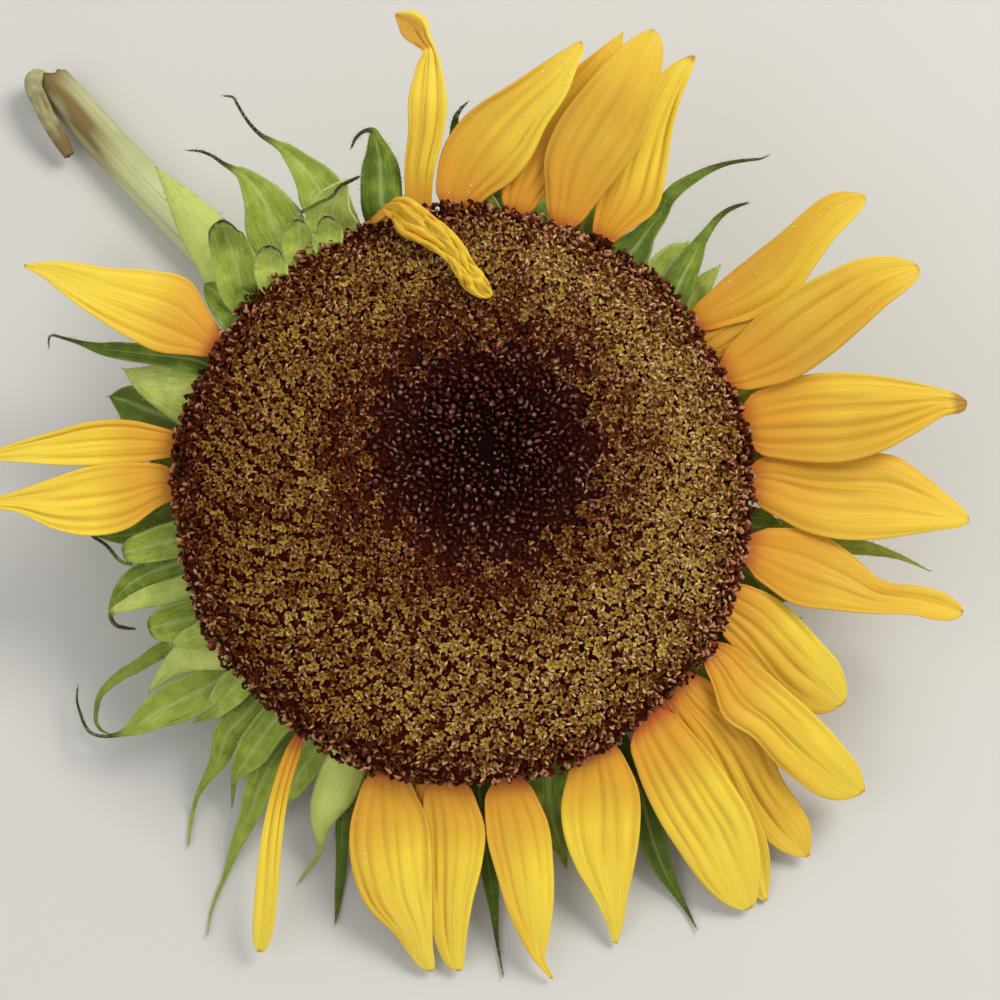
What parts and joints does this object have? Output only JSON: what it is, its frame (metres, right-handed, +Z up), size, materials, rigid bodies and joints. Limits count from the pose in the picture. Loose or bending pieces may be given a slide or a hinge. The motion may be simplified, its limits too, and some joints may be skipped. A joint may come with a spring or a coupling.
{
  "type": "sunflower head",
  "caption": "Cut sunflower head lying face up on its bent stem, with a broad disc of florets, yellow ray petals, a wilted petal folded over the disc and pointed green bracts.",
  "frame": {"origin": "centre of the part's box in plan, on the surface that it lies on", "axes": "+Z up from that surface; -Y towards the front, where the disc leans; the stem lies towards -X and +Y"},
  "size_m": [0.2654, 0.2684, 0.0994],
  "materials": {
    "disc_brown": "matte",
    "petal_yellow": "satin",
    "leaf_green": "matte",
    "stem_green": "matte"
  },
  "bodies": {
    "root": {"disc_florets": "disc_brown", "ray_petals": "petal_yellow", "receptacle_bracts": "leaf_green", "stem": "stem_green"}
  },
  "joints": []
}
